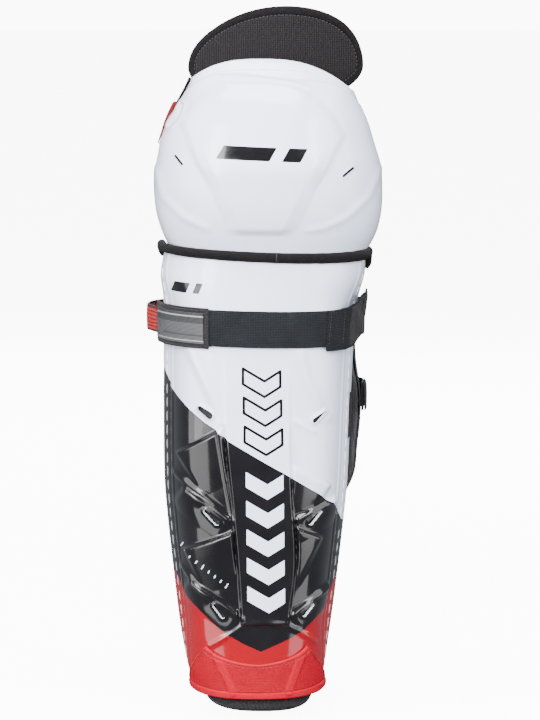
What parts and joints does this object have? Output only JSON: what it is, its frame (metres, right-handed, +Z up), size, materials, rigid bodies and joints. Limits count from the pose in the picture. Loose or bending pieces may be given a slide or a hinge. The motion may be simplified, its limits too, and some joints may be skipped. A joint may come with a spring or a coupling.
{
  "type": "hockey shin guard",
  "caption": "Shin guard with a ribbed hard shell, domed knee cap, padded thigh guard, folding side wings, removable liner and two strap loops.",
  "frame": {"origin": "on the leg's axis, level with the lowest point of the liner at the foot end", "axes": "+Z runs up the leg from the foot end to the thigh guard, -Y is the front of the shin, +X is the wearer's left when facing the front of the guard"},
  "size_m": [0.1668, 0.1447, 0.501],
  "materials": {
    "shin_shell": "glossy white moulded plastic with printed black and red zones",
    "fabric": "black woven fabric",
    "foam": "dark grey foam with fabric faces",
    "foot_patch": "matte red rubberised fabric",
    "hook": "black hook tape",
    "webbing": "black woven nylon",
    "upper_strap_elastic": "red ribbed elastic",
    "knee_cap_shell": "glossy white moulded plastic",
    "knee_pull_tab": "red tape",
    "plate": "grey sheet plastic",
    "upper_tab_label": "grey moulded label"
  },
  "bodies": {
    "shin": {"shin_shell": "shin_shell", "shin_shell_binding": "fabric", "shin_impact_foam": "foam", "foot_patch": "foot_patch", "hook_strip_upper": "hook", "hook_strip_lower": "hook", "upper_strap_front": "webbing", "upper_strap_anchor": "webbing", "upper_strap_elastic": "upper_strap_elastic", "upper_strap_return": "webbing", "lower_strap_back": "webbing"},
    "knee": {"knee_cap_shell": "knee_cap_shell", "knee_foam": "foam", "knee_liner": "fabric", "knee_sling_medial": "webbing", "knee_sling_lateral": "webbing", "knee_pull_tab": "knee_pull_tab"},
    "thigh_guard": {"thigh_panel": "fabric", "thigh_plate": "plate", "thigh_back_foam": "foam", "thigh_binding": "fabric"},
    "medial_wing": {"medial_wing_foam": "fabric", "medial_wing_plate": "plate", "medial_wing_binding": "webbing"},
    "lateral_wing": {"lateral_wing_foam": "fabric", "lateral_wing_plate": "plate", "lateral_wing_binding": "webbing"},
    "liner": {"liner_pad": "fabric", "loop_strip_upper": "foam", "loop_strip_lower": "foam"},
    "upper_tab": {"upper_tab_hook": "hook", "upper_tab_label": "upper_tab_label"},
    "lower_tab": {"lower_tab_hook": "hook"}
  },
  "joints": [
    {"name": "knee_flex", "type": "hinge", "parent": "shin", "child": "knee", "pos_m": [0.004, 0.004, 0.318], "axis": [-1, 0, 0], "range_deg": [0, 22], "stiffness_Nm_per_rad": 0.6},
    {"name": "thigh_flex", "type": "hinge", "parent": "knee", "child": "thigh_guard", "pos_m": [0.01, -0.022, 0.452], "axis": [-1, 0, 0], "range_deg": [-5, 20], "stiffness_Nm_per_rad": 0.25},
    {"name": "medial_wing_fold", "type": "hinge", "parent": "shin", "child": "medial_wing", "pos_m": [-0.0625, 0.005, 0.186], "axis": [0.0579, 0, -0.9983], "range_deg": [0, 14], "stiffness_Nm_per_rad": 0.2},
    {"name": "lateral_wing_fold", "type": "hinge", "parent": "shin", "child": "lateral_wing", "pos_m": [0.0615, 0.005, 0.186], "axis": [0.0579, 0, 0.9983], "range_deg": [0, 14], "stiffness_Nm_per_rad": 0.2},
    {"name": "upper_tab_peel", "type": "hinge", "parent": "shin", "child": "upper_tab", "pos_m": [-0.069, -0.0036, 0.276], "axis": [0, 0, -1], "range_deg": [0, 90]},
    {"name": "lower_tab_peel", "type": "hinge", "parent": "shin", "child": "lower_tab", "pos_m": [0.0765, 0.0275, 0.222], "axis": [0, 0, 1], "range_deg": [0, 100]},
    {"name": "liner_release", "type": "slide", "parent": "shin", "child": "liner", "axis": [0, 1, 0], "range_m": [0, 0.03]}
  ]
}
